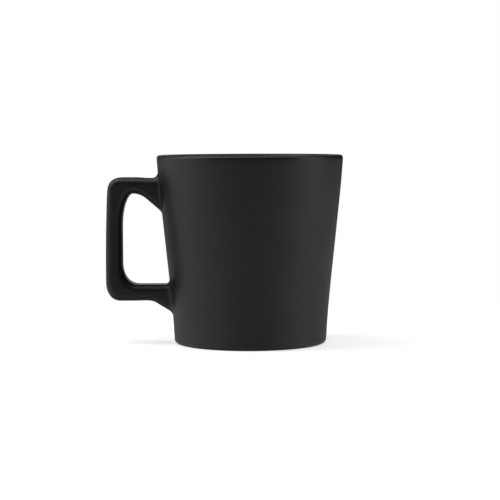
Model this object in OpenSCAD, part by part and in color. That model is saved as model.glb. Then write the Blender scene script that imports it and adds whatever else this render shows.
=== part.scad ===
// Ceramic mug with a squared strap handle.
// Millimetres. The origin is the middle of the foot, on the surface the mug
// stands on. +Z is up, and the handle points along -X.

/* [Cup] */
// Height from the foot to the top of the lip
cup_height = 92; // [80:1:110]
// Outside diameter of the glazed wall, taken at the height of the lip
rim_d = 91.2; // [80:0.5:105]
// Thickness of the glazed wall, measured level
wall_t = 4; // [3.2:0.1:6]
// Thickness of the glazed floor above the recess, and height of the drinking floor
floor_z = 6.5; // [5:0.1:10]
// Radius between the drinking floor and the inner wall
floor_r = 9; // [4:0.5:14]

/* [Wall shape] */
// Lean of the wall next to the foot, degrees from upright
foot_taper = 3.9; // [0:0.1:8]
// Lean of the wall above that, behind the lower end of the handle
low_taper = 5.2; // [0:0.1:9]
// Lean of the main part of the wall
wall_taper = 5.8; // [0:0.1:10]
// Lean of the wall under the lip
rim_taper = 4.3; // [0:0.1:8]
// Heights of the wall's three bends, as shares of the cup's height
low_bend = 0.13; // [0.08:0.005:0.14]
mid_bend = 0.348; // [0.34:0.005:0.5]
high_bend = 0.913; // [0.905:0.005:0.94]
// Radius of the bottom edge, over the glaze
edge_r = 2.1; // [1.2:0.1:4]

/* [Foot] */
// Width of the bare ring that the mug stands on
foot_ring_w = 3.6; // [2.5:0.1:6]
// Depth of the recess inside the foot ring
recess_depth = 1.8; // [1:0.1:3]
// Slope of the recess's side, level run over its depth
recess_run = 1.5; // [0.5:0.1:4]
// Height at which the outside glaze stops above the surface
glaze_line = 0.6; // [0.5:0.1:1.2]

/* [Handle] */
// Reach of the handle from the cup's axis
handle_reach = 70.5; // [64:0.5:82]
// Height of the handle's upper face, as a share of the cup's height
handle_top = 0.8826; // [0.8:0.005:0.92]
// Height of the handle from its lower face to its upper face
handle_h = 60.3; // [52:0.5:72]
// Thickness of the strap over the glaze
strap_t = 7.8; // [6:0.1:10]
// Width of the strap over the glaze
strap_w = 15; // [12:0.5:20]
// Radius along the strap's edges
strap_edge_r = 3; // [1.5:0.1:3.5]
// Radius of the handle's outer corners
corner_out_r = 7; // [5:0.5:10]
// Radius of the finger gap's corners beside the grip
corner_in_r = 5.2; // [3:0.1:8]
// Length of the thickened part below the upper arm, along X from the wall
upper_root_run = 9.3; // [6:0.1:12]
// Slope of the thickened part below the upper arm, degrees
upper_slope = 40; // [25:1:50]
// Length of the thickened part below the lower arm, along X from the wall
lower_root_run = 9.4; // [6:0.1:12]
// Slope of the thickened part below the lower arm, degrees
lower_slope = 32; // [20:1:45]

/* [Joins and coats] */
// Thickness of the fired glaze
glaze_t = 0.4; // [0.2:0.05:0.6]
// Thickness of the slip that joins the handle to the wall
slip_t = 0.8; // [0.5:0.1:1.5]

/* [Hidden] */
$fn = 64;
past = 1; // how far a cutter runs past what it cuts

// The wall is a stack of cones: the heights where they meet, and each one's lean
bends = [0, low_bend * cup_height, mid_bend * cup_height, high_bend * cup_height, cup_height];
tapers = [foot_taper, low_taper, wall_taper, rim_taper];
function side_rise(z, i = 0) = i > 3 ? 0
    : tan(tapers[i]) * (min(max(z, bends[i]), bends[i + 1]) - bends[i]) + side_rise(z, i + 1);
// Outside radius of the glazed wall at a height
function side_r(z) = rim_d / 2 - side_rise(cup_height) + side_rise(z);
// The wall's outline between two heights, set in by a level distance
function side_line(inset, z0, z1) = concat([[side_r(z0) - inset, z0]],
    [for (z = bends) if (z > z0 + 0.1 && z < z1 - 0.1) [side_r(z) - inset, z]],
    [[side_r(z1) - inset, z1]]);

lip_r = wall_t / 2;
lip_z = cup_height - lip_r;
lip_x = side_r(lip_z) - lip_r;
edge_x = side_r(edge_r) - edge_r; // centre of the bottom edge's radius
ring_out_r = edge_x;
ring_in_r = ring_out_r - foot_ring_w;
recess_top_r = ring_in_r - recess_run;
bend_z = floor_z + floor_r; // where the drinking floor's radius meets the wall
bend_x = side_r(bend_z) - wall_t - floor_r;

top_z = handle_top * cup_height;
bottom_z = top_z - handle_h;
outer_x = -(handle_reach - corner_out_r); // centres of the corners' radii
inner_x = -(handle_reach - strap_t - corner_in_r);
root_x = -(side_r(bottom_z) - 4); // the arms are built from inside the wall
upper_kink_x = -(side_r(top_z - strap_t) + upper_root_run);
lower_kink_x = -(side_r(bottom_z) + lower_root_run);
middle_z = (top_z + bottom_z) / 2;
arm_steps = 12;
bend_steps = 6;
round_steps = 4;
// A straight line that turns up smoothly over 2 * w, centred on x = 0
function hinge(x, w) = x <= -w ? 0 : x >= w ? x : pow(x + w, 2) / (4 * w);

// The whole cup as a solid of revolution, with its side set in by a level distance
module cup_solid(inset) {
    line = side_line(inset, 0, cup_height);
    rotate_extrude()
        polygon(concat([[0, 0]], line, [[0, cup_height]]));
}

// Half section of the drinking space, grown by a coat's thickness
module cavity_section(grow) {
    line = side_line(wall_t - grow, bend_z, lip_z);
    polygon(concat([[0, bend_z]], line, [[0, lip_z]]));
    translate([bend_x, bend_z])
        circle(r = floor_r + grow);
    translate([0, floor_z - grow])
        square([bend_x, floor_r + grow]);
}

// Half section of the fired clay cup
module clay_section() {
    line = side_line(glaze_t, edge_r, lip_z);
    difference() {
        union() {
            polygon(concat([[0, edge_r]], line, [[0, lip_z]]));
            translate([edge_x, edge_r])
                circle(r = edge_r - glaze_t);
            translate([0, glaze_t])
                square([edge_x, edge_r]);
            square([ring_out_r, edge_r]);
        }
        cavity_section(glaze_t);
        polygon([[-past, -past], [ring_in_r + recess_run * past / recess_depth, -past],
                 [recess_top_r, recess_depth], [recess_top_r, recess_depth + glaze_t],
                 [-past, recess_depth + glaze_t]]);
        translate([-past - 20, -past])
            square([past + 20, cup_height]);
    }
    translate([lip_x, lip_z])
        circle(r = lip_r - glaze_t);
}

// The ring of glaze over a rounded edge, kept inside a box
module coat_round(x, z, r, box_low, box_size) {
    intersection() {
        translate([x, z])
            difference() {
                circle(r = r);
                circle(r = r - glaze_t);
            }
        translate(box_low)
            square(box_size);
    }
}

// The handle is swept through a row of sections. Each lies across the strap, between a
// point of the outer outline and one of the inner outline, both as [x, z]
function turn(c, r, angle) = [c[0] + r * cos(angle), c[1] + r * sin(angle)];
function mix(a, b, t) = a + (b - a) * t;
// How far an arm's lower face drops towards the wall
function drop(x, kink_x, slope, soft) = tan(slope) * hinge(x - kink_x, soft);
function arm_outer(t, z) = [mix(root_x, outer_x, t), z];
function arm_inner(t, z) = [mix(root_x, inner_x, t), z];
function upper_arm(t) = [arm_outer(t, top_z),
    arm_inner(t, top_z - strap_t - drop(mix(root_x, inner_x, t), upper_kink_x, upper_slope, 2))];
function lower_arm(t) = [
    arm_outer(t, bottom_z - drop(mix(root_x, outer_x, t), lower_kink_x, lower_slope, 3)),
    arm_inner(t, bottom_z + strap_t)];
function corner(z_out, z_in, angle) = [turn([outer_x, z_out], corner_out_r, angle),
                                       turn([inner_x, z_in], corner_in_r, angle)];
sections = concat(
    [for (i = [0:arm_steps - 1]) upper_arm(i / arm_steps)],
    [for (i = [0:bend_steps]) corner(top_z - corner_out_r, top_z - strap_t - corner_in_r,
                                     90 + 90 * i / bend_steps)],
    [for (i = [0:bend_steps]) corner(bottom_z + corner_out_r, bottom_z + strap_t + corner_in_r,
                                     180 + 90 * i / bend_steps)],
    [for (i = [arm_steps - 1:-1:0]) lower_arm(i / arm_steps)]);

// The outline of one section, a rounded rectangle with cut taken off all round
function section_points(pair, cut) =
    let (run = pair[0] - pair[1], t = norm(run), u = run / t, m = (pair[0] + pair[1]) / 2,
         e = strap_edge_r - cut, a = t / 2 - strap_edge_r, b = strap_w / 2 - strap_edge_r)
    [for (q = [0:3], i = [0:round_steps])
        let (angle = 90 * q + 90 * i / round_steps,
             p = a * (q == 0 || q == 3 ? 1 : -1) + e * cos(angle),
             y = b * (q < 2 ? 1 : -1) + e * sin(angle))
        [m[0] + u[0] * p, y, m[1] + u[1] * p]];

// The handle run on into the wall; cut is the coat taken off its surface
module handle_form(cut) {
    n = 4 * (round_steps + 1);
    last = len(sections) - 1;
    polyhedron(
        points = [for (pair = sections) each section_points(pair, cut)],
        faces = concat(
            [[for (k = [0:n - 1]) k]],
            [[for (k = [n - 1:-1:0]) last * n + k]],
            [for (i = [0:last - 1], k = [0:n - 1])
                [i * n + k, (i + 1) * n + k, (i + 1) * n + (k + 1) % n]],
            [for (i = [0:last - 1], k = [0:n - 1])
                [i * n + k, (i + 1) * n + (k + 1) % n, i * n + (k + 1) % n]]));
}

// The slip under one end of the handle, kept between two heights
module slip_pad(low, high) {
    difference() {
        intersection() {
            handle_form(glaze_t);
            cup_solid(glaze_t - slip_t);
            translate([-side_r(cup_height), -strap_w, low])
                cube([side_r(cup_height), 2 * strap_w, high - low]);
        }
        cup_solid(glaze_t);
    }
}

module cup_body() {
    color([0.66, 0.6, 0.52])
        rotate_extrude()
            clay_section();
}

module handle() {
    color([0.66, 0.6, 0.52])
        difference() {
            handle_form(glaze_t);
            cup_solid(glaze_t - slip_t);
        }
}

module upper_luting_slip() {
    color([0.58, 0.52, 0.45])
        slip_pad(middle_z, cup_height);
}

module lower_luting_slip() {
    color([0.58, 0.52, 0.45])
        slip_pad(0, middle_z);
}

module liner_glaze() {
    color([0.13, 0.13, 0.13])
        rotate_extrude() {
            difference() {
                cavity_section(glaze_t);
                cavity_section(0);
                translate([-past - 20, -past])
                    square([past + 20, cup_height]);
            }
            coat_round(lip_x, lip_z, lip_r, [lip_x - lip_r - past, lip_z], [lip_r + past, lip_r + past]);
        }
}

module outer_glaze() {
    color([0.13, 0.13, 0.13])
        difference() {
            rotate_extrude() {
                difference() {
                    polygon(concat([[lip_x - floor_r * 2, edge_r]], side_line(0, edge_r, lip_z),
                                   [[lip_x - floor_r * 2, lip_z]]));
                    polygon(concat([[lip_x - floor_r * 2 - past, edge_r]],
                                   side_line(glaze_t, edge_r, lip_z),
                                   [[lip_x - floor_r * 2 - past, lip_z]]));
                }
                coat_round(edge_x, edge_r, edge_r, [edge_x, glaze_line],
                           [edge_r + past, edge_r - glaze_line]);
                coat_round(lip_x, lip_z, lip_r, [lip_x, lip_z], [lip_r + past, lip_r + past]);
            }
            handle_form(glaze_t);
        }
}

module handle_glaze() {
    color([0.13, 0.13, 0.13])
        difference() {
            handle_form(0);
            handle_form(glaze_t);
            cup_solid(0);
        }
}

module base_glaze() {
    color([0.13, 0.13, 0.13])
        translate([0, 0, recess_depth])
            cylinder(r = recess_top_r, h = glaze_t);
}

cup_body();
handle();
upper_luting_slip();
lower_luting_slip();
liner_glaze();
outer_glaze();
handle_glaze();
base_glaze();
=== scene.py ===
from math import cos, hypot, pi, radians, sin, sqrt, tan

import bmesh
import bpy
from mathutils import Matrix, Vector


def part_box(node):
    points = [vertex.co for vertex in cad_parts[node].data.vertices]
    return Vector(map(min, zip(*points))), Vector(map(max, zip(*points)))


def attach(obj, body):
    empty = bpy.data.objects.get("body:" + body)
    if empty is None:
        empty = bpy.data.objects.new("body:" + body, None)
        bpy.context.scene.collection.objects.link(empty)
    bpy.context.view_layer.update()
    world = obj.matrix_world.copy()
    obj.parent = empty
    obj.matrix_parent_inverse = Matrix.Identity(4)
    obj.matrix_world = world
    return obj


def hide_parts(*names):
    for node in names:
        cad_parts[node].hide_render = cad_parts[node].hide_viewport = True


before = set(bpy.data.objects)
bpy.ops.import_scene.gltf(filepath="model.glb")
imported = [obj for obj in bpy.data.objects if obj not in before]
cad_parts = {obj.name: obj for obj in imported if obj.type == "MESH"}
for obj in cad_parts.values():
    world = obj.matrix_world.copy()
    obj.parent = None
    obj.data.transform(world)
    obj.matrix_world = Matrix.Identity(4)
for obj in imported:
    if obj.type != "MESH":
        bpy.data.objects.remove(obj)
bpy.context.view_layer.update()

MM = 0.001

# ---------------------------------------------------------------- camera

# A long lens, a little above the lip and tipped slightly down
CAMERA_AT = Vector((-0.064, -830.8, 102.6)) * MM
CAMERA_PITCH = radians(3.94)
CAMERA_ROLL = radians(-0.21)

camera_data = bpy.data.cameras.new("studio_camera")
camera_data.sensor_width = 36
camera_data.lens = 122.4
camera_data.clip_start = 0.05
camera = bpy.data.objects.new("studio_camera", camera_data)
camera.matrix_world = (Matrix.Translation(CAMERA_AT)
                       @ Matrix.Rotation(pi / 2 - CAMERA_PITCH, 4, "X")
                       @ Matrix.Rotation(CAMERA_ROLL, 4, "Z"))
bpy.context.scene.collection.objects.link(camera)
bpy.context.scene.camera = camera

# ---------------------------------------------------------------- sizes, in millimetres

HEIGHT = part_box("outer_glaze")[1].z / MM
GLAZE = 0.4            # thickness of the fired coats
WALL = 4.0             # thickness of the glazed wall
WALL_FOOT = 37.06      # outside radius of the wall, run on down to the table
FOOT_LEAN = 0.0675     # run over rise of the wall next to the foot
BODY_LEAN = 0.038      # added to the lean above the lower bend
LIP_LEAN = 0.0315      # taken off the lean above the upper bend
LOWER_BEND = 20.0, 12.0    # height of a bend, and how far it is eased above and below
UPPER_BEND = 79.0, 8.0
FLOOR_Z = 6.5          # height of the drinking floor
FLOOR_ROUND = 9.0      # between the drinking floor and the wall
EDGE_ROUND = 2.1       # the bottom edge
LIP_SQUARENESS = 2.7   # 2 is a full round, and more is squarer
FOOT_RING = 3.6        # width of the bare ring that the mug stands on
RECESS_DEPTH = 1.8
RECESS_RUN = 1.5
FIT = 0.02             # keeps the clay's surface just inside the glaze
TURNS = 160            # facets round the cup

TOP_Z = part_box("handle_glaze")[1].z / MM      # the strap's upper face
BOTTOM_Z = TOP_Z - 60.17                      # the strap's lower face
STRAP = 7.9                                   # thickness of the strap's arms
STRAP_WIDTH = 15.0
STRAP_EDGE = 3.1                              # rounding along the strap's edges
CROWN = 0.15                                  # the strap's faces swell by this in their middle
GRIP_X = -70.4                                # outer face of the grip
GAP_X = -62.45                                # inner face of the grip


def ease(x, half):
    """A straight rise that starts smoothly, over half on each side of zero."""
    if x <= -half:
        return 0.0
    return x if x >= half else (x + half) ** 2 / (4 * half)


def smooth_step(x, start, end):
    """0 before the start and 1 past the end, easing in between."""
    t = min(max((x - start) / (end - start), 0), 1)
    return t * t * (3 - 2 * t)


def steps(start, end, count):
    """Evenly spaced values, with both ends."""
    return [start + (end - start) * i / count for i in range(count + 1)]


def wall_radius(z):
    """Outside radius of the glazed wall, which leans out more above the foot and less at the lip."""
    lower, upper = [ease(z - height, half) for height, half in (LOWER_BEND, UPPER_BEND)]
    return WALL_FOOT + FOOT_LEAN * z + BODY_LEAN * lower - LIP_LEAN * upper


def arc(x, z, radius, start, end, count):
    """Points along an arc of a half section, angles in degrees from the outward direction."""
    return [(x + radius * cos(radians(a)), z + radius * sin(radians(a)))
            for a in steps(start, end, count)]


# ---------------------------------------------------------------- mesh helpers

def piece(bm, name):
    """Closes a bmesh's poles and seams, turns its faces outwards and makes it a smooth object."""
    bmesh.ops.remove_doubles(bm, verts=bm.verts, dist=0.002 * MM)
    bmesh.ops.recalc_face_normals(bm, faces=bm.faces)
    mesh = bpy.data.meshes.new(name)
    bm.to_mesh(mesh)
    bm.free()
    mesh.polygons.foreach_set("use_smooth", [True] * len(mesh.polygons))
    obj = bpy.data.objects.new(name, mesh)
    bpy.context.scene.collection.objects.link(obj)
    return obj


def turned(name, half_section):
    """Turns a closed half section, as radius and height in mm, once round the cup's axis."""
    bm = bmesh.new()
    line = [bm.verts.new((r * MM, 0, z * MM)) for r, z in half_section]
    pairs = zip(line, line[1:] + line[:1])
    edges = [bm.edges.new(pair) for pair in pairs if pair[0].co.x > 0 or pair[1].co.x > 0]
    bmesh.ops.spin(bm, geom=line + edges, cent=(0, 0, 0), axis=(0, 0, 1), dvec=(0, 0, 0),
                   angle=2 * pi, steps=TURNS, use_merge=True, use_duplicate=False)
    return piece(bm, name)


# ---------------------------------------------------------------- cup

lip_r = WALL / 2
lip_z = HEIGHT - lip_r
lip_x = wall_radius(lip_z) - lip_r
edge_x = wall_radius(EDGE_ROUND) - EDGE_ROUND
bowl_z = FLOOR_Z + FLOOR_ROUND
bowl_x = wall_radius(bowl_z) - WALL - FLOOR_ROUND
ring_out = edge_x
ring_in = ring_out - FOOT_RING
recess_r = ring_in - RECESS_RUN
recess_top = RECESS_DEPTH + GLAZE


def cup_line(inset, lowest):
    """The cup's surface, set into the wall, from an angle on the bottom edge over the lip to the
    middle of the drinking floor."""
    points = arc(edge_x, EDGE_ROUND, EDGE_ROUND - inset, lowest, -3, 10)
    points += [(wall_radius(z) - inset, z) for z in steps(EDGE_ROUND, lip_z, 44)[:-1]]
    for a in steps(0, pi, 24):
        across, up = [abs(v) ** (2 / LIP_SQUARENESS) for v in (cos(a), sin(a))]
        side = 1 if cos(a) > 0 else -1
        points.append((lip_x + (lip_r - inset) * side * across, lip_z + (lip_r - inset) * up))
    points += [(wall_radius(z) - WALL + inset, z) for z in steps(lip_z, bowl_z, 40)[1:-1]]
    points += arc(bowl_x, bowl_z, FLOOR_ROUND + inset, 0, -90, 16)
    points += [(r, FLOOR_Z - inset) for r in steps(bowl_x, 0, 8)[1:]]
    return points


# The glaze stops low on the bottom edge, and the ring inside it is bare clay
GLAZE_STOP = -75       # angle on the bottom edge, in degrees
CLAY_START = -78

cup_glaze = turned("cup_glaze", cup_line(0, GLAZE_STOP) + cup_line(GLAZE, CLAY_START)[::-1])

# From the middle of the recess, down its side and across the ring to the bottom edge
bare_foot = [(0, recess_top), (recess_r - 0.2, recess_top), (recess_r, RECESS_DEPTH),
             (recess_r + 0.5, RECESS_DEPTH - 0.4), (ring_in - 0.25, 0.3), (ring_in + 0.1, 0.06),
             (ring_in + 0.5, 0), (ring_out - 0.5, 0), (ring_out, 0.08), (ring_out + 0.25, 0.22)]
cup_clay = turned("cup_clay", bare_foot + cup_line(GLAZE + FIT, CLAY_START))

# A flat coat that pools into a small fillet in the recess's corner
base_glaze = turned("base_glaze", [(0, RECESS_DEPTH), (recess_r - 1.2, RECESS_DEPTH),
                                   (recess_r - 0.5, RECESS_DEPTH - 0.06),
                                   (recess_r + 0.2, RECESS_DEPTH - 0.3),
                                   (recess_r + 0.1, recess_top), (0, recess_top)])

# ---------------------------------------------------------------- handle

# Corners of the strap's outline: centre x and z, reach along x and z, and squareness, where 2 is
# an ellipse
TOP_OUT = -62.0, TOP_Z - 8.0, 7.5, 8.0, 2.6
TOP_IN = -56.85, TOP_Z - STRAP - 16.2, 5.6, 16.2, 2.0
LOW_OUT = -63.4, BOTTOM_Z + 9.0, 7.0, 9.0, 2.15
LOW_IN = -53.95, BOTTOM_Z + STRAP + 10.5, 8.5, 10.5, 2.25

# The grip leans in from a height above the strap's lower face, by this times the square of the rise
LEAN_START = 15.0
LEAN = 0.0006

# Slopes that thicken the arms towards the wall: angle, where each starts along x, and how softly
UPPER_SLOPE = radians(41), -53.2, 3.4
LOWER_SLOPE = radians(32.5), -47.4, 2.5
UPPER_DIP = 0.35, -56.0, -49.0     # how far the upper arm's top face sinks, and from where to where
LOWER_LIFT = 0.1       # the lower arm's underside is this much above the lowest point

# Where the arms end and their wiped roots begin, and the points that the sections at the corners
# turn about
UPPER_ROOT_X = -49.5
LOWER_ROOT_X = -46.5
UPPER_PIVOT = -56.0, 66.0
LOWER_PIVOT = -53.9, 38.5

# Hollow curves where the wet slip was wiped: radius at the outer face, the sides and the inner face
UPPER_WIPE = 3.2, 1.4, 1.2
LOWER_WIPE = 1.6, 2.6, 2.4
SINK = 0.35            # how far the handle's ends are buried in the wall

ROUND_STEPS = 8        # along each rounded edge of a section
FLAT_STEPS = 5         # along each of its flat stretches
ROOT_STEPS = 8         # along each root's hollow curve
ARM_STEPS, CORNER_STEPS, GRIP_STEPS = 7, 18, 12
REACH = 40.0           # from a pivot to beyond the strap
HALVINGS = 40          # of that reach, to find a face


def corner_x(z, corner):
    """Where a corner's curve lies at a height."""
    centre_x, centre_z, reach_x, reach_z, power = corner
    share = min(abs(z - centre_z) / reach_z, 1)
    return centre_x - reach_x * (1 - share ** power) ** (1 / power)


def strap_out(z):
    """Outer face of the strap."""
    if z > TOP_OUT[1]:
        return corner_x(z, TOP_OUT)
    if z < LOW_OUT[1]:
        return corner_x(z, LOW_OUT)
    return GRIP_X + LEAN * max(z - BOTTOM_Z - LEAN_START, 0) ** 2


def strap_in(z):
    """Face of the strap towards the fingers."""
    if z > TOP_IN[1]:
        return corner_x(z, TOP_IN)
    if z < LOW_IN[1]:
        return corner_x(z, LOW_IN)
    return GAP_X


def drop(x, slope, start, softness):
    """How far an arm's lower face drops towards the wall."""
    return tan(slope) * ease(x - start, softness)


def upper_arm(x):
    """Heights of the upper arm's outer and inner faces."""
    depth, start, end = UPPER_DIP
    return TOP_Z - depth * smooth_step(x, start, end), TOP_Z - STRAP - drop(x, *UPPER_SLOPE)


def lower_arm(x):
    """Heights of the lower arm's outer and inner faces."""
    return BOTTOM_Z + LOWER_LIFT - drop(x, *LOWER_SLOPE), BOTTOM_Z + STRAP


def spoke(pivot, angle, face):
    """Where a line from a pivot inside the finger gap meets one face of the strap."""
    skin = 0 if face is strap_out else STRAP
    near, far = 0.0, REACH
    for _ in range(HALVINGS):
        middle = (near + far) / 2
        x, z = pivot[0] + middle * cos(angle), pivot[1] + middle * sin(angle)
        if BOTTOM_Z + skin < z < TOP_Z - skin and x > face(z):
            near = middle
        else:
            far = middle
    return pivot[0] + near * cos(angle), pivot[1] + near * sin(angle)


def corner_rows(pivot, start):
    """Rows over a quarter turn about a pivot."""
    return [(spoke(pivot, a, strap_out), spoke(pivot, a, strap_in))
            for a in steps(start, start + pi / 2, CORNER_STEPS)[1:]]


def arm_rows(arm, start, end):
    """Upright rows along an arm."""
    return [((x, outer), (x, inner))
            for x in steps(start, end, ARM_STEPS) for outer, inner in [arm(x)]]


# Rows of (outer point, inner point) from the upper root round the grip to the lower root
rows = (arm_rows(upper_arm, UPPER_ROOT_X, UPPER_PIVOT[0])
        + corner_rows(UPPER_PIVOT, pi / 2)
        + [((strap_out(z), z), (strap_in(z), z))
           for z in steps(UPPER_PIVOT[1], LOWER_PIVOT[1], GRIP_STEPS)[1:]]
        + corner_rows(LOWER_PIVOT, pi)
        + arm_rows(lower_arm, LOWER_PIVOT[0], LOWER_ROOT_X)[1:])


def swell(share):
    """How far a face swells at a share of the way from its middle to its edge."""
    return CROWN * sqrt(max(1 - share ** 2, 0))


def strap_section(half_t):
    """One cross section of the strap, as points (towards the outer face, across) in mm with the
    way each one faces."""
    core_t, core_w = half_t - STRAP_EDGE - CROWN, STRAP_WIDTH / 2 - STRAP_EDGE - CROWN
    outline = []
    for sign_p, sign_y, to_face in ((1, 1, True), (1, -1, False), (-1, -1, True), (-1, 1, False)):
        # a rounded edge that ends on a wide face or on a side, then that flat stretch
        for turn in steps(0, 1, ROUND_STEPS):
            angle = pi / 2 * (turn if to_face else 1 - turn)
            face_p, face_y = sign_p * sin(angle), sign_y * cos(angle)
            outline.append((sign_p * core_t + STRAP_EDGE * face_p,
                            sign_y * core_w + STRAP_EDGE * face_y, face_p, face_y))
        p, y = outline[-1][:2]
        for back in steps(1, -1, FLAT_STEPS)[1:-1]:
            outline.append((p, y * back, sign_p, 0) if to_face else (p * back, y, 0, sign_y))
    return [(p + face_p * swell(y / (STRAP_WIDTH / 2 - CROWN)),
             y + face_y * swell(p / (half_t - CROWN)), face_p, face_y)
            for p, y, face_p, face_y in outline]


def root_ring(arm, wipe, sign, angle, sink=0.0):
    """One ring of a root, angle 0 where it leaves the arm and 90 degrees where it lies on the wall.
    The sign is 1 for the upper arm and -1 for the lower."""
    outer, side, inner = wipe
    rounding = STRAP_EDGE + CROWN
    core = 1.0         # half the flat stretch of a section, before it is drawn out to fit the arm
    ring = []
    for p, y, face_p, face_y in strap_section(core + rounding):
        radius = side + ((outer if face_p > 0 else inner) - side) * face_p ** 2
        off, away = radius * (1 - cos(angle)) + sink, radius * (1 - sin(angle)) - sink
        across = y + off * face_y
        x = -WALL_FOOT         # a first guess, which a dozen rounds settle
        for _ in range(12):
            # the arm's faces depend on where the wall is met, and the other way round
            high, low = arm(x)
            drawn_out = max(abs(high - low) / 2 - core - rounding, 0)
            reach = p + drawn_out * max(-1, min(1, p / core))
            z = (high + low) / 2 + sign * (reach + off * face_p)
            x = -sqrt((wall_radius(z) + away) ** 2 - across ** 2)
        ring.append((x, across, z))
    return ring


def row_ring(outer, inner):
    """One section of the strap, between a row's two points."""
    half_t = hypot(outer[0] - inner[0], outer[1] - inner[1]) / 2
    along_x, along_z = [(o - i) / (2 * half_t) for o, i in zip(outer, inner)]
    middle_x, middle_z = [(o + i) / 2 for o, i in zip(outer, inner)]
    return [(middle_x + along_x * p, y, middle_z + along_z * p)
            for p, y, _, _ in strap_section(half_t)]


def strap(name):
    """The glazed handle, extruded ring by ring from one end sunk in the wall to the other."""
    rings = [root_ring(upper_arm, UPPER_WIPE, 1, pi / 2, SINK)]
    rings += [root_ring(upper_arm, UPPER_WIPE, 1, a) for a in steps(pi / 2, 0, ROOT_STEPS)]
    rings += [row_ring(outer, inner) for outer, inner in rows]
    rings += [root_ring(lower_arm, LOWER_WIPE, -1, a) for a in steps(0, pi / 2, ROOT_STEPS)]
    rings.append(root_ring(lower_arm, LOWER_WIPE, -1, pi / 2, SINK))

    bm = bmesh.new()
    place = bm.verts.layers.int.new("place")
    first = bmesh.ops.create_circle(bm, segments=len(rings[0]), radius=1)["verts"]
    for i, vert in enumerate(first):
        vert[place] = i
    edges = list(bm.edges)
    bmesh.ops.contextual_create(bm, geom=edges)
    for number, ring in enumerate(rings):
        if number:
            made = bmesh.ops.extrude_edge_only(bm, edges=edges)["geom"]
            edges = [g for g in made if isinstance(g, bmesh.types.BMEdge)]
        for vert in {v for edge in edges for v in edge.verts}:
            vert.co = Vector(ring[vert[place]]) * MM
        for edge in edges:
            # the buried bands don't bend the shading of the coat where it meets the wall
            edge.smooth = number not in (1, len(rings) - 2)
    bmesh.ops.contextual_create(bm, geom=edges)
    return piece(bm, name)


handle_glaze = strap("handle_glaze")

# ---------------------------------------------------------------- materials

def linear(hex_colour):
    """An sRGB hex colour as linear RGBA."""
    values = [int(hex_colour[i:i + 2], 16) / 255 for i in (1, 3, 5)]
    return [v / 12.92 if v <= 0.04045 else ((v + 0.055) / 1.055) ** 2.4 for v in values] + [1]


def add(tree, kind, settings=None, links=None):
    """Adds a node, sets its properties and sockets, and links its inputs from other nodes."""
    node = tree.nodes.new(kind)
    for key, value in (settings or {}).items():
        if isinstance(key, int) or key in node.inputs:
            node.inputs[key].default_value = value
        else:
            setattr(node, key, value)
    for key, (source, output) in (links or {}).items():
        tree.links.new(source.outputs[output], node.inputs[key])
    return node


def new_tree(name):
    material = bpy.data.materials.new(name)
    material.use_nodes = True
    material.node_tree.nodes.clear()
    return material, material.node_tree


def satin_glaze(name, colour, pooled):
    """Matt black stoneware glaze, dipped and fired: a very dark, even coat with a soft satin sheen.
    The eye sees broad blurred highlights that waver slightly where the coat runs thick and thin."""
    material, tree = new_tree(name)
    place = add(tree, "ShaderNodeTexCoord")
    # the coat's thickness drifts over about 18 mm
    drift = add(tree, "ShaderNodeTexNoise",
                {"Scale": 1 / (18 * MM), "Detail": 2.0, "Roughness": 0.4},
                {"Vector": (place, "Object")})
    # matt crystals are microns across, so they are drawn at 0.5 mm
    crystals = add(tree, "ShaderNodeTexNoise",
                   {"Scale": 1 / (0.5 * MM), "Detail": 2.0, "Roughness": 0.6},
                   {"Vector": (place, "Object")})
    colour_mix = add(tree, "ShaderNodeMix",
                     {"data_type": "RGBA", 6: linear(colour), 7: linear(pooled)},
                     {0: (drift, "Fac")})
    rough = add(tree, "ShaderNodeMapRange",
                {"From Min": 0.3, "From Max": 0.7, "To Min": 0.40, "To Max": 0.46},
                {"Value": (drift, "Fac")})
    wave = add(tree, "ShaderNodeBump", {"Strength": 0.25, "Distance": 0.1 * MM},
               {"Height": (drift, "Fac")})
    skin = add(tree, "ShaderNodeBump", {"Strength": 0.12, "Distance": 0.01 * MM},
               {"Height": (crystals, "Fac"), "Normal": (wave, "Normal")})
    shader = add(tree, "ShaderNodeBsdfPrincipled", {"IOR": 1.5},
                 {"Base Color": (colour_mix, 2), "Roughness": (rough, "Result"),
                  "Normal": (skin, "Normal")})
    add(tree, "ShaderNodeOutputMaterial", {}, {"Surface": (shader, "BSDF")})
    return material


def bisque(name, colour, speck):
    """Buff stoneware clay, fired bare: dry and matt, with fine iron specks and a slight tooth."""
    material, tree = new_tree(name)
    place = add(tree, "ShaderNodeTexCoord")
    specks = add(tree, "ShaderNodeTexNoise", {"Scale": 1 / (0.8 * MM), "Detail": 3.0},
                 {"Vector": (place, "Object")})
    grains = add(tree, "ShaderNodeMapRange", {"From Min": 0.6, "From Max": 0.72},
                 {"Value": (specks, "Fac")})
    colour_mix = add(tree, "ShaderNodeMix",
                     {"data_type": "RGBA", 6: linear(colour), 7: linear(speck)},
                     {0: (grains, "Result")})
    tooth = add(tree, "ShaderNodeBump", {"Strength": 0.3, "Distance": 0.05 * MM},
                {"Height": (specks, "Fac")})
    shader = add(tree, "ShaderNodeBsdfPrincipled", {"IOR": 1.5, "Roughness": 0.85},
                 {"Base Color": (colour_mix, 2), "Normal": (tooth, "Normal")})
    add(tree, "ShaderNodeOutputMaterial", {}, {"Surface": (shader, "BSDF")})
    return material


cup_black = satin_glaze("satin_black_glaze", "#0D0D0D", "#0B0B0B")
handle_black = satin_glaze("satin_black_glaze_handle", "#0E0E0C", "#0B0B0A")
buff_clay = bisque("bare_stoneware", "#B7A48C", "#6E5A45")

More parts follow.
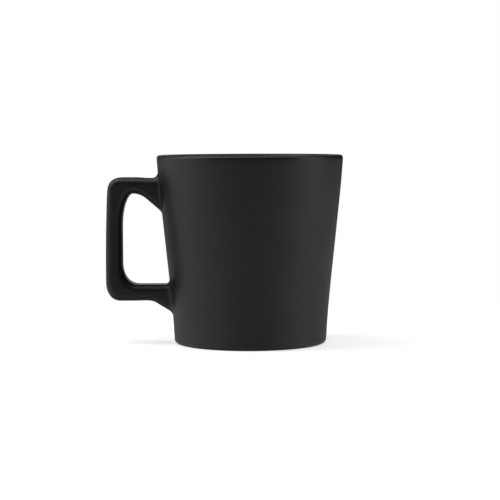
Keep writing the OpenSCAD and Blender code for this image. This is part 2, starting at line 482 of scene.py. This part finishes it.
HANDLE_NODES = "handle_glaze", "handle", "upper_luting_slip", "lower_luting_slip"
for obj, material, slot, nodes in (
        (cup_glaze, cup_black, "outer_glaze", ("outer_glaze", "liner_glaze")),
        (base_glaze, cup_black, "base_glaze", ("base_glaze",)),
        (cup_clay, buff_clay, "clay", ("cup_body",)),
        (handle_glaze, handle_black, "handle_glaze", HANDLE_NODES)):
    obj.data.materials.append(material)
    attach(obj, "root")
    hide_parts(*nodes)

# ---------------------------------------------------------------- studio

FLOOR_HALF = 0.3       # in metres, and the floor reaches further towards the camera than behind
FLOOR_SHIFT = 0, -0.1, 0

floor_bm = bmesh.new()
bmesh.ops.create_grid(floor_bm, x_segments=2, y_segments=2, size=FLOOR_HALF)
bmesh.ops.translate(floor_bm, verts=floor_bm.verts, vec=FLOOR_SHIFT)
floor_mesh = bpy.data.meshes.new("floor")
floor_bm.to_mesh(floor_mesh)
floor_bm.free()
floor = bpy.data.objects.new("floor", floor_mesh)
bpy.context.scene.collection.objects.link(floor)
# White paper with a little light of its own, so it reads as white as the backdrop
paper, paper_tree = new_tree("white_paper")
paper_shader = add(paper_tree, "ShaderNodeBsdfPrincipled",
                   {"Base Color": linear("#F4F4F4"), "Roughness": 0.9,
                    "Emission Color": linear("#FFFFFF"), "Emission Strength": 0.6})
add(paper_tree, "ShaderNodeOutputMaterial", {}, {"Surface": (paper_shader, "BSDF")})
floor.data.materials.append(paper)
# The glaze mirrors the light surround below instead of the paper
floor.visible_glossy = False
floor.visible_shadow = False


def softbox(name, at, aim, width, height, power):
    """A soft light at a point in metres, turned towards another."""
    data = bpy.data.lights.new(name, "AREA")
    data.shape = "RECTANGLE"
    data.size, data.size_y = width, height
    data.energy = power
    light = bpy.data.objects.new(name, data)
    direction = Vector(aim) - Vector(at)
    light.matrix_world = (Matrix.Translation(at)
                          @ direction.to_track_quat("-Z", "Y").to_matrix().to_4x4())
    light.visible_camera = False
    bpy.context.scene.collection.objects.link(light)


# Light banks: centre in metres, width, height, and strength for their area
PANELS = (("right_bank", (1.2, -0.2, 0.385), 0.64, 0.73, 1.42),
          ("left_bank", (-1.2, 0.15, 0.385), 1.6, 0.73, 0.78),
          ("top_left_bank", (-0.9, 0.0, 1.1), 0.8, 1.2, 2.7),
          ("top_right_bank", (0.9, 0.0, 1.1), 0.8, 1.2, 1.0),
          ("back_bank", (-0.1, 1.2, 0.385), 0.64, 0.73, 0.7),
          ("top_bank", (0.0, 0.0, 1.4), 1.2, 0.8, 1.6),
          ("front_top_bank", (0.0, -0.7, 1.3), 1.2, 0.8, 0.5))
OVERHEAD = 1.0         # banks above this aim at the mug, and the others are upright
MUG_MIDDLE = 0.05
for name, at, width, height, strength in PANELS:
    aim_z = at[2] if at[2] < OVERHEAD else MUG_MIDDLE
    softbox(name, at, (0, 0, aim_z), width, height, strength * width * height * pi)

# The room: a white backdrop to look at, and a light surround below the table that glows towards
# each side
GLOW_TOWARDS = 0.966, -0.259       # along x on either side, and along y: a little in front
LEFT_FOCUS, RIGHT_FOCUS = 2.0, 3.0
GLOW, SURROUND, ABOVE = 0.5, 0.43, 0.02

world = bpy.data.worlds.new("studio")
world.use_nodes = True
bpy.context.scene.world = world
tree = world.node_tree
tree.nodes.clear()
rays = add(tree, "ShaderNodeLightPath")
where = add(tree, "ShaderNodeTexCoord")
axes = add(tree, "ShaderNodeSeparateXYZ", {}, {"Vector": (where, "Generated")})
lobes = []
for side, focus in ((-1, LEFT_FOCUS), (1, RIGHT_FOCUS)):
    facing = add(tree, "ShaderNodeVectorMath",
                 {"operation": "DOT_PRODUCT", 1: (side * GLOW_TOWARDS[0], GLOW_TOWARDS[1], 0)},
                 {0: (where, "Generated")})
    lobe = add(tree, "ShaderNodeMath", {"operation": "MAXIMUM", 1: 0.0}, {0: (facing, "Value")})
    lobes.append(add(tree, "ShaderNodeMath", {"operation": "POWER", 1: focus}, {0: (lobe, 0)}))
both = add(tree, "ShaderNodeMath", {"operation": "ADD"}, {0: (lobes[0], 0), 1: (lobes[1], 0)})
surround = add(tree, "ShaderNodeMath", {"operation": "MULTIPLY_ADD", 1: GLOW, 2: SURROUND},
               {0: (both, 0)})
below = add(tree, "ShaderNodeMapRange",
            {"From Min": 0.0, "From Max": -0.16, "To Min": ABOVE, "To Max": 1.0,
             "interpolation_type": "SMOOTHSTEP"}, {"Value": (axes, "Z")})
# the mug's own shade, straight down
under = add(tree, "ShaderNodeMapRange",
            {"From Min": -0.45, "From Max": -0.95, "To Min": 1.0, "To Max": 0.5,
             "interpolation_type": "SMOOTHSTEP"}, {"Value": (axes, "Z")})
level = add(tree, "ShaderNodeMath", {"operation": "MULTIPLY"},
            {0: (surround, 0), 1: (below, "Result")})
level = add(tree, "ShaderNodeMath", {"operation": "MULTIPLY"},
            {0: (level, 0), 1: (under, "Result")})
room = add(tree, "ShaderNodeBackground", {"Color": linear("#FFFFFF")}, {"Strength": (level, 0)})
white = add(tree, "ShaderNodeBackground", {"Color": linear("#FFFFFF"), "Strength": 1.0})
seen = add(tree, "ShaderNodeMixShader", {},
           {0: (rays, "Is Camera Ray"), 1: (room, "Background"), 2: (white, "Background")})
add(tree, "ShaderNodeOutputWorld", {}, {"Surface": (seen, "Shader")})

# ---------------------------------------------------------------- finish

bpy.context.scene.view_settings.view_transform = "Standard"
